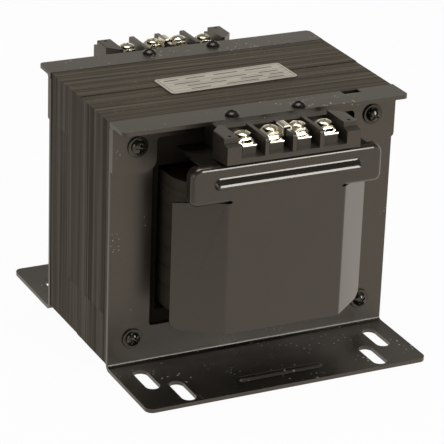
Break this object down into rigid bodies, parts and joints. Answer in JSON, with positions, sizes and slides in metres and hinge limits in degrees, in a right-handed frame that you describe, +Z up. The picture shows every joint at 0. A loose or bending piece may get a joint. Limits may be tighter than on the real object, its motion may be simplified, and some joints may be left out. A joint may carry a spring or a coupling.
{
  "type": "chassis mount transformer",
  "caption": "Open-frame control transformer: through-bolted E and I core, coil with folded end covers, terminal blocks and slotted chassis feet.",
  "frame": {"origin": "on the floor under the middle of the core", "axes": "+Z up, -Y towards the front cover and terminals, +X to the right seen from the front"},
  "size_m": [0.1722, 0.1974, 0.1488],
  "materials": {
    "lamination_steel": "varnished",
    "bracket_enamel": "gloss",
    "cover_enamel": "high gloss",
    "block_moulding": "gloss",
    "bright_plating": "bright plated",
    "zinc_screws": "zinc plated",
    "black_screws": "black",
    "winding_copper": "varnished copper wire",
    "insulation_paper": "matte",
    "wrap_tape": "varnished",
    "tube_board": "matte",
    "lead_sleeve": "matte",
    "plate_foil": "satin"
  },
  "bodies": {
    "root": {"core_e_laminations": "lamination_steel", "core_i_laminations": "lamination_steel", "winding_tube": "tube_board", "primary_winding": "winding_copper", "winding_insulation": "insulation_paper", "secondary_winding": "winding_copper", "coil_wrap": "wrap_tape", "coil_wedges": "tube_board", "core_bolts": "zinc_screws", "core_washers": "zinc_screws", "core_nuts": "zinc_screws", "rating_plate": "plate_foil", "front_lower_bracket": "bracket_enamel", "front_upper_bracket": "bracket_enamel", "front_coil_cover": "cover_enamel", "front_terminal_block": "block_moulding", "front_terminal_plates": "bright_plating", "front_clamp_saddles": "bright_plating", "front_terminal_screws": "bright_plating", "front_terminal_link": "bright_plating", "front_coil_leads": "lead_sleeve", "front_block_screws": "black_screws", "front_block_nuts": "black_screws", "rear_lower_bracket": "bracket_enamel", "rear_upper_bracket": "bracket_enamel", "rear_coil_cover": "cover_enamel", "rear_terminal_block": "block_moulding", "rear_terminal_plates": "bright_plating", "rear_clamp_saddles": "bright_plating", "rear_terminal_screws": "bright_plating", "rear_terminal_link": "bright_plating", "rear_coil_leads": "lead_sleeve", "rear_block_screws": "black_screws", "rear_block_nuts": "black_screws"}
  },
  "joints": []
}
